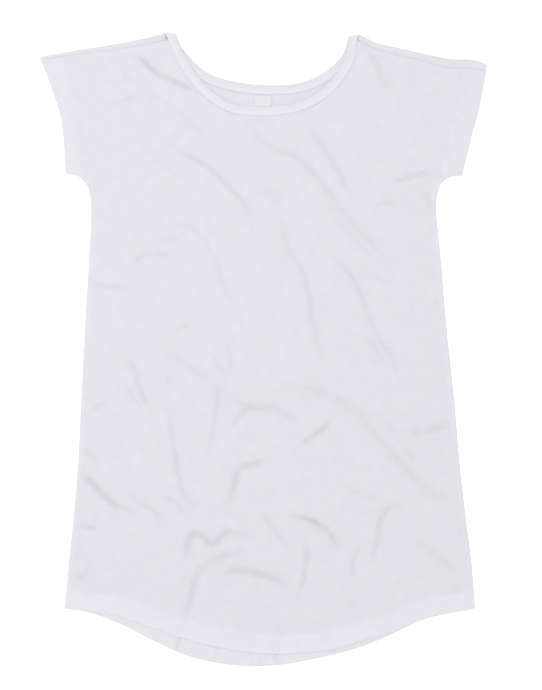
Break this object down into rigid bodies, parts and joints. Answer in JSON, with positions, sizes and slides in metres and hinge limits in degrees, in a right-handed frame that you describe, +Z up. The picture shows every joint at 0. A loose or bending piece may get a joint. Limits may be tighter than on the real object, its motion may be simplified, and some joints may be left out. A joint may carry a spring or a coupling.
{
  "type": "t-shirt dress",
  "caption": "White cotton jersey t-shirt dress laid flat, with short cut-on sleeves, a scooped ribbed neck and a curved hem that hangs lower at the back.",
  "frame": {"origin": "middle of the outline, on the plane that the back panel's underside rests on", "axes": "+Y from the hem to the neck, +X to the wearer's left, +Z up out of the front"},
  "size_m": [0.63, 0.8955, 0.0074],
  "materials": {
    "jersey": "soft matt cotton jersey",
    "rib": "soft matt cotton rib",
    "label_tape": "smooth woven polyester tape"
  },
  "bodies": {
    "root": {"front": "jersey", "back": "jersey", "neckband_front": "rib", "neckband_back": "rib", "neck_label": "label_tape", "care_label": "label_tape"}
  },
  "joints": []
}
